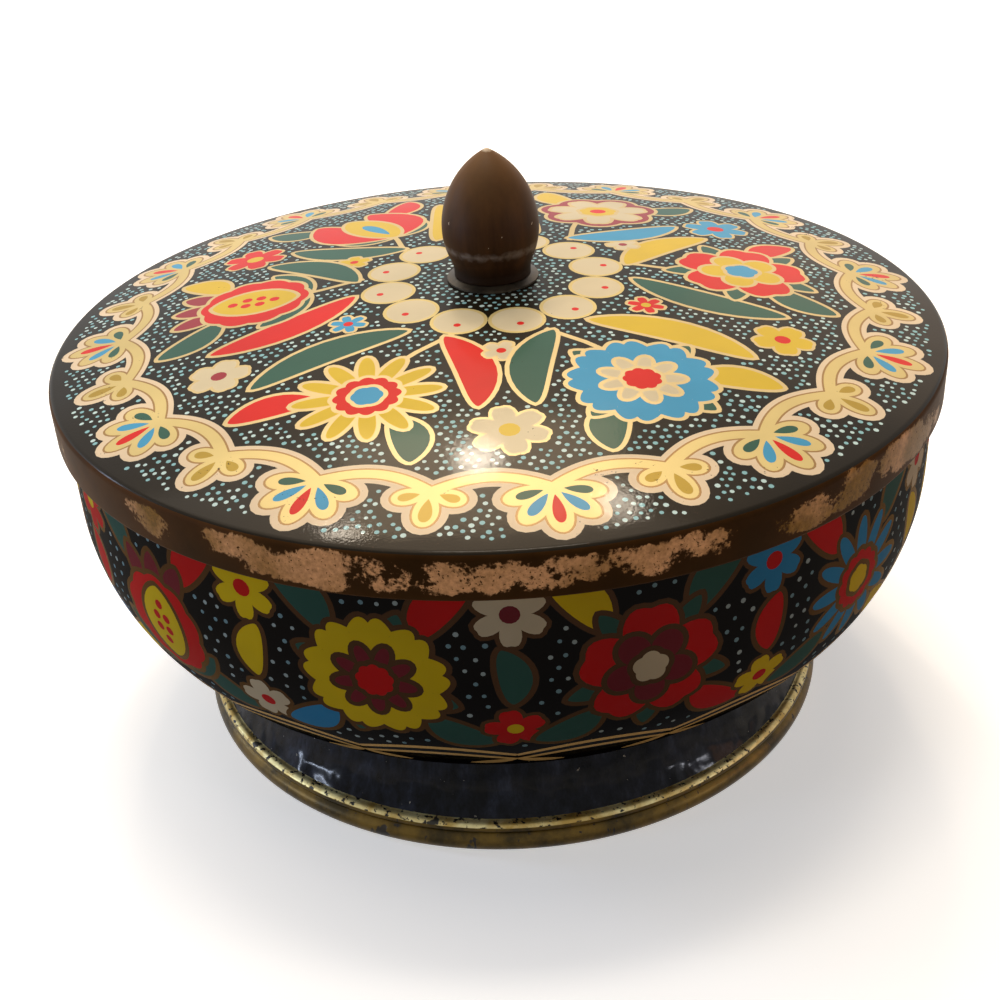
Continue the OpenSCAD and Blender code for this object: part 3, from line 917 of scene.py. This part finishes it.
def gardenShapes():
    shapes = []
    width = bowl["turn"] / bowl["groups"]
    for k in range(bowl["groups"]):
        middle = (k - (bowl["groups"] - 1) / 2) * width
        side = -1 if k % 2 else 1

        def pen(x, y, turn, line=bowl["line"]):
            stretch = bowl["r"] / wallAt(y)[0]
            return penAt(shapes, (middle + side * x * stretch, y), turn, line, stretch, side)

        for (x, y, turn, length, wide, bend, j) in garden["leaves"]:
            pen(x, y, turn)(garden["leafInks"][k % 3][j], leafShape(length, wide, bend))
        bloom, size, inks = garden["blooms"][k % 6]
        bloom(pen(*garden["bloomFoot" if bloom in garden["growing"] else "bloomAt"], 90), size, inks)
        y, turn, length, wide, bend = garden["gapLeaf"]
        draw = penAt(shapes, (middle + width / 2, y), turn, bowl["line"], bowl["r"] / wallAt(y)[0], side)
        draw(garden["gapInks"][k % 3], leafShape(length, wide, bend))
        for j, (y, size, petals) in enumerate(garden["small"]):
            draw = penAt(shapes, (middle + width / 2, y), 20, bowl["line"] * 0.8, bowl["r"] / wallAt(y)[0])
            littleFlower(draw, size, petals, garden["smallInks"][(2 * k + j) % 5])
    count = garden["edgeCount"]
    for up in garden["edgeAt"]:
        for k in range(count):
            path = []
            for j in range(11):
                u = j / 10
                x = bowl["turn"] * ((k + u) / count - 0.5)
                path.append((x, up + garden["edgeRise"] * 4 * u * (1 - u)))
            shapes.append(("band", stroke(path, garden["edgeW"])))
    for k in range(count):
        cusp = (bowl["turn"] * ((k + 1) / count - 0.5), garden["edgeAt"][0])
        for turn, length, wide, bend in garden["tails"]:
            shapes.append(("band", turned(leafShape(length, wide, bend), turn, cusp)))
    # what runs over the seam goes on at the other end
    half = bowl["turn"] / 2
    shapes += [(ink, [(x - 2 * half, y) for x, y in outline]) for ink, outline in shapes
               if max(x for x, y in outline) > half]
    shapes = [(ink, cutAtSeam(outline)) for ink, outline in shapes]
    return [(ink, outline) for ink, outline in shapes
            if len(outline) > 2 and abs(turnArea(outline)) > 0.05]


def rowSpots(step, jitter, dice):
    spots = []
    rows = int(bowl["printH"] / step / rowStep)
    for j in range(2, rows):
        up = j * step * rowStep
        if up < bowl["dotLow"]:
            continue
        stretch = bowl["r"] / wallAt(up)[0]
        count = int(bowl["turn"] / stretch / step)
        for k in range(count):
            x = bowl["turn"] * ((k + 0.5 * (j % 2) + 0.5) / count - 0.5)
            x += dice.uniform(-jitter, jitter) * step
            spots.append((x, up + dice.uniform(-jitter, jitter) * step, stretch))
    return spots


# on the map: print as three strips, inside and underside as small discs above them
bowlSheet = {"inside": (0.09, 0.92), "underAt": 0.29, "scale": 0.0005, "strip": (0.01, 0.005, 0.98),
             "stripStep": 0.28, "stripH": 0.272, "printH": 90}


def bowlMap(face, r, z, middle, turn):
    belly = -90
    if r > bowl["floorR"]:
        belly = math.degrees(math.atan2(min(z - bowl["bellyZ"], 0), r - bowl["floorR"]))
    up = math.radians(belly) * bowl["bellyR"] + max(z - bowl["bellyZ"], 0)
    if bowlPiece.data.materials[face.material_index] == bowlTin:
        row = int((middle + 180) // 120.01)
        up += bowl["bellyLen"] + max(bowl["r"] - r, 0) * (z > bowl["wallTop"])
        left, low, wide = bowlSheet["strip"]
        return (left + (turn + 180 - 120 * row) / 120 * wide,
                low + bowlSheet["stripStep"] * row + up / bowlSheet["printH"] * bowlSheet["stripH"])
    reach = min(r, bowl["floorR"]) + up + math.radians(90) * bowl["bellyR"]
    x, y = polar(reach * bowlSheet["scale"], turn)
    isUnder = face.normal.z < -0.1 and z < bowl["bellyZ"]
    left, low = bowlSheet["inside"]
    return ((bowlSheet["underAt"] if isUnder else left) + x, low + y)


def makeBowl():
    dice = random.Random(bowl["seed"])
    half = bowl["turn"] / 2
    columns = [bowl["turn"] * k / turnSteps - half for k in range(turnSteps + 1)]
    rows = [bowl["printH"] * k / bowl["netRows"] for k in range(bowl["netRows"] + 1)]
    edge = [(x, 0) for x in columns] + [(half, y) for y in rows[1:]]
    edge += [(x, bowl["printH"]) for x in columns[-2::-1]] + [(-half, y) for y in rows[-2:0:-1]]
    shapes = [("ground", edge)] + gardenShapes()
    spots = rowSpots(bowl["dotStep"], bowl["dotJitter"], dice)
    shapes += groundDots(shapes, spots, bowl["dotRoom"], bowl["dotSizes"], dice)
    loose = [(x, y) for x in columns[1:-1:2] for y in rows[1:-1]]
    wall = printedMesh("bowlWall", flatMap(shapes, loose), bowlSurface)
    wall.data.materials.append(bowlTin)
    belly = (bowl["floorR"], bowl["bellyZ"])
    bead = (bowl["r"] - bowl["beadR"], bowl["wallTop"])
    beadEnd = 360 - math.degrees(math.acos((bowl["beadR"] - sheetT) / bowl["beadR"]))
    stretches = [
        (bowlTin, arc(bead, bowl["beadR"], 0, 90, 8)),
        (goldInside, arc(bead, bowl["beadR"], 90, beadEnd, 12)
         + arc(belly, bowl["bellyR"] - sheetT, 0, -90, 30)
         + [(bowl["floorR"] * k / 5, bowl["floorZ"] + sheetT) for k in (4, 3, 2, 1, 0)]),
        (goldInside, [(bowl["floorR"] * k / 5, bowl["floorZ"]) for k in range(5)]
         + arc(belly, bowl["bellyR"], -90, bowl["startA"], 6)),
    ]
    piece = spunPiece("bowlShell", stretches[0][1] + stretches[1][1][1:])
    under = spunPiece("bowlUnder", stretches[2][1])
    giveFinishes(piece, stretches[:2])
    giveFinishes(under, stretches[2:])
    joinPieces(piece, under)
    joinPieces(piece, wall)
    placePiece(piece, "bowl", "printed_tin_bowl", "bowl_shell")
    return piece


bowlPiece = makeBowl()
bakeMap(bowlPiece, bowlMap)
print("bowl", len(bowlPiece.data.polygons), "faces")

# Foot

footHigh = boxOf("foot_ring")[1]
foot = {"r": footHigh[0], "neckR": 70.0, "flangeW": 6.0, "ridgeR": 1.3, "rollR": 2.7, "step": 0.8,
        "flat": 0.3, "gap": 1.3, "joint": 0.05, "dents": 58, "dentDepth": 0.38, "seed": 5,
        "ridgeA": (112, 30, -58), "rollA": (68, -180), "innerA": 118}


# shallow dents from the rolling, all inwards and only between two heights
def dentFoot(piece, low, high):
    dice = random.Random(foot["seed"])
    count = foot["dents"]
    depths = [dice.random() for k in range(count)]
    for point in piece.data.vertices:
        share = (point.co.z / mm - low) / (high - low)
        if 0 < share < 1:
            turn = (math.degrees(math.atan2(point.co.y, point.co.x)) % 360) / 360 * count
            k = int(turn) % count
            depth = depths[k] + (depths[(k + 1) % count] - depths[k]) * (turn - int(turn))
            reach = math.hypot(point.co.x, point.co.y) / mm
            keep = 1 - depth * foot["dentDepth"] * math.sin(math.pi * share) / reach
            point.co.x *= keep
            point.co.y *= keep


def makeFoot():
    flangeR = bowl["bellyR"] + foot["joint"]
    belly = (bowl["floorR"], bowl["bellyZ"])
    neckA = -math.degrees(math.acos((foot["neckR"] - bowl["floorR"]) / flangeR))
    neckInA = -math.degrees(math.acos((foot["neckR"] - sheetT - bowl["floorR"]) / (flangeR + sheetT)))
    neckZ = bowl["bellyZ"] + polar(flangeR, neckA)[1]
    neckInZ = bowl["bellyZ"] + polar(flangeR + sheetT, neckInA)[1]
    flangeA = neckA - math.degrees(foot["flangeW"] / flangeR)
    roll = (foot["r"] - foot["rollR"], foot["rollR"] - foot["flat"])
    ridge = (foot["r"] - foot["step"] - foot["ridgeR"], roll[1] + foot["rollR"] + foot["ridgeR"] - sheetT)
    fall, flare = neckZ - ridge[1], ridge[0] - foot["neckR"]
    coveR = (fall ** 2 + flare ** 2) / (2 * flare)
    cove = (foot["neckR"] + coveR, neckZ)
    coveA = 180 + math.degrees(math.asin((fall - foot["ridgeR"]) / coveR))
    coveInA = 180 + math.degrees(math.asin((neckZ - neckInZ) / (coveR + sheetT)))
    inner = foot["rollR"] - sheetT
    gapA = 180 - math.degrees(math.asin(foot["gap"] / inner))
    rollTop, rollEnd = foot["rollA"]
    over = [(r, max(z, 0)) for r, z in arc(roll, foot["rollR"], rollTop, rollEnd, 40)]
    under = [(r, max(z, sheetT)) for r, z in arc(roll, inner, rollEnd, gapA, 36)]
    ridgeTop, ridgeSplit, ridgeEnd = foot["ridgeA"]
    stretches = [
        (goldInside, arc(belly, flangeR, flangeA, neckA, 5)),
        (footEnamel, arc(cove, coveR, 180, coveA, 14)),
        (ridgeGold, arc(ridge, foot["ridgeR"], ridgeTop, ridgeSplit, 8)),
        (rollGold, arc(ridge, foot["ridgeR"], ridgeSplit, ridgeEnd, 8)[1:] + over),
        (goldInside, under + arc(roll, foot["rollR"], gapA, foot["innerA"], 6)
         + arc(cove, coveR + sheetT, coveA, coveInA, 12)
         + arc(belly, flangeR + sheetT, neckInA, flangeA, 5)),
    ]
    profile = [p for finish, points in stretches for p in points]
    piece = spunPiece("footRing", profile + profile[:1])
    giveFinishes(piece, stretches)
    dentFoot(piece, ridge[1] + foot["ridgeR"], neckZ)
    placePiece(piece, "bowl", "black_enamel_tin", "foot_ring")
    return piece


footPiece = makeFoot()
print("foot", len(footPiece.data.polygons), "faces")

# Knob, collar and fixing

knobLow, knobHigh = boxOf("knob")
knob = {"base": knobLow[2], "tip": knobHigh[2], "budR": knobHigh[0], "widest": 10.8, "budArc": 20.0,
        "tipR": 1.2, "footArc": 16.0, "neckR": 8.6, "neckH": 1.2, "pull": 1.3, "swellA": -22.0, "soft": 0.3,
        "hole": 2.05, "holeH": 14.0}
knobWood = lacqueredWood(knob["base"], knob["tip"])


def makeKnob():
    base, neckR, soft = knob["base"], knob["neckR"], knob["soft"]
    bud = (knob["budR"] - knob["budArc"], base + knob["widest"])
    swell = (knob["budR"] - knob["footArc"], base + knob["widest"])
    # the neck runs into the bud in a soft curve
    x, y = polar(knob["footArc"], knob["swellA"])
    end, pull = (swell[0] + x, swell[1] + y), polar(knob["pull"], knob["swellA"] + 90)
    bends = [(neckR, base + knob["neckH"]), (neckR, base + knob["neckH"] + knob["pull"]),
             (end[0] - pull[0], end[1] - pull[1]), end]
    neck = []
    for k in range(11):
        u = k / 10
        shares = ((1 - u) ** 3, 3 * u * (1 - u) ** 2, 3 * u * u * (1 - u), u ** 3)
        neck.append(tuple(sum(s * p[axis] for s, p in zip(shares, bends)) for axis in (0, 1)))
    tip = (0, knob["tip"] - knob["tipR"])
    tipA = math.degrees(math.atan2(tip[1] - bud[1], -bud[0]))
    body = arc((neckR - soft, base + soft), soft, -90, 0, 4) + neck
    body += arc(swell, knob["footArc"], knob["swellA"], 0, 14)[1:]
    body += arc(bud, knob["budArc"], 0, tipA, 32)[1:] + arc(tip, knob["tipR"], tipA, 90, 6)[1:]
    hole = [(0, base + knob["holeH"]), (knob["hole"], base + knob["holeH"]), (knob["hole"], base)]
    piece = spunPiece("knob", hole + body, 96)
    piece.data.materials.append(knobWood)
    placePiece(piece, "lid", "lacquered_wood", "knob")


makeKnob()
collarFinish = bronzedMetal()
for name, finish in (("knob_collar", collarFinish), ("knob_screw", steel), ("screw_washer", steel)):
    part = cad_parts[name]
    part.data.materials.clear()
    part.data.materials.append(finish)
print("knob and fixing made")

# Floor, light and camera

stage = {"floor": "f6f6f6", "bounce": "8a8886", "glow": 0.47, "size": 12.0, "sky": "fafafa", "dim": "565656"}


# one for the rays that show the background: to the camera, in metal and in gloss
def seenRays(tree):
    path = node(tree, "LightPath").outputs
    seen = node(tree, "Math", [path["Is Camera Ray"], path["Is Glossy Ray"]], operation="MAXIMUM")
    return node(tree, "Math", [seen, path["Is Transmission Ray"]], operation="MAXIMUM")


def makeFloor():
    bpy.ops.object.select_all(action="DESELECT")
    bpy.ops.mesh.primitive_plane_add(size=stage["size"], location=(0, 0, 0))
    floor = bpy.context.object
    floor.name = "floor"
    finish, tree, shader, coords = newFinish("pale floor")
    seen = seenRays(tree)
    colour = node(tree, "Mix", {0: seen, 6: stage["bounce"], 7: stage["floor"]}, data_type="RGBA")
    glow = node(tree, "Math", [seen, stage["glow"]], operation="MULTIPLY")
    wire(shader, {"Base Color": colour, "Roughness": 1.0, "Specular IOR Level": 0.0,
                  "Emission Strength": glow, "Emission Color": "ffffff"})
    floor.data.materials.append(finish)


# name, kind, place and aim in metres, width and height, power, colour
lamps = [("overhead", "SUN", (-0.3, 0.5, 1.6), (0, 0, 0.09), (1.0, 1.0), 1.5, "fff4e4"),
         ("topLamp", "AREA", (0, 0.04, 1.1), (0, 0, 0.09), (0.34, 0.1), 2.6, "fff4e4"),
         ("backPanel", "AREA", (-0.03, 0.66, 0.91), (0, -0.06, 0.09), (0.42, 0.25), 2.9, "ffe2b8"),
         ("ceilingLamp", "AREA", (-0.034, 0.612, 0.822), (0, -0.07, 0.09), (0.055, 0.045), 1.2, "fff0da"),
         ("leftBulb", "AREA", (-0.227, 0.498, 0.875), (-0.03, -0.09, 0.09), (0.05, 0.04), 0.55, "fff0da"),
         ("rightBulb", "AREA", (0.153, 0.527, 0.87), (0.02, -0.09, 0.09), (0.05, 0.04), 0.55, "fff0da"),
         ("rightWall", "AREA", (0.6, 0.95, 0.55), (0.05, 0, 0.09), (0.7, 0.5), 0.9, "ffd09a"),
         ("leftWindow", "AREA", (-1.0, 0.25, 0.4), (0, 0, 0.07), (0.12, 0.3), 2.2, "cfe0ff"),
         ("frontWindow", "AREA", (-0.95, -0.28, 0.12), (0, 0, 0.02), (0.24, 0.03), 2.4, "d8e6ff"),
         ("rightWarm", "AREA", (1.0, -0.2, 0.25), (0, 0, 0.06), (0.4, 0.3), 0.7, "ffb070"),
         ("rightPane", "AREA", (0.85, -0.5, 0.14), (0, 0, 0.02), (0.05, 0.05), 0.6, "f2f4ff")]


def makeLights():
    for name, kind, place, aim, size, power, colour in lamps:
        data = bpy.data.lights.new(name, kind)
        data.color = linear(colour)[:3]
        data.energy = power
        if kind == "SUN":
            data.angle = size[0]
        else:
            data.shape = "RECTANGLE"
            data.size, data.size_y = size
        lamp = bpy.data.objects.new(name, data)
        lamp.location = place
        lamp.rotation_mode = "QUATERNION"
        lamp.rotation_quaternion = (Vector(aim) - Vector(place)).to_track_quat("-Z", "Y")
        bpy.context.scene.collection.objects.link(lamp)
    world = bpy.data.worlds.new("studio")
    world.use_nodes = True
    tree = world.node_tree
    shown = node(tree, "Mix", {0: seenRays(tree), 6: stage["dim"], 7: stage["sky"]}, data_type="RGBA")
    wire(tree.nodes["Background"], {"Color": shown})
    bpy.context.scene.world = world


camera = {"at": (0.714, -305.46, 222.26), "down": 30.379, "yaw": 0.355, "roll": -3.131, "lens": 51.75}


def makeCamera():
    data = bpy.data.cameras.new("camera")
    data.lens = camera["lens"]
    data.sensor_width = 36
    data.clip_start = 0.01
    eye = bpy.data.objects.new("camera", data)
    turn = Matrix.Rotation(math.radians(camera["yaw"]), 4, "Z")
    turn @= Matrix.Rotation(math.radians(90 - camera["down"]), 4, "X")
    turn @= Matrix.Rotation(math.radians(camera["roll"]), 4, "Z")
    eye.matrix_world = Matrix.Translation([c * mm for c in camera["at"]]) @ turn
    bpy.context.scene.collection.objects.link(eye)
    bpy.context.scene.camera = eye


makeFloor()
makeLights()
makeCamera()
bpy.context.scene.view_settings.view_transform = "Standard"
print("stage made")
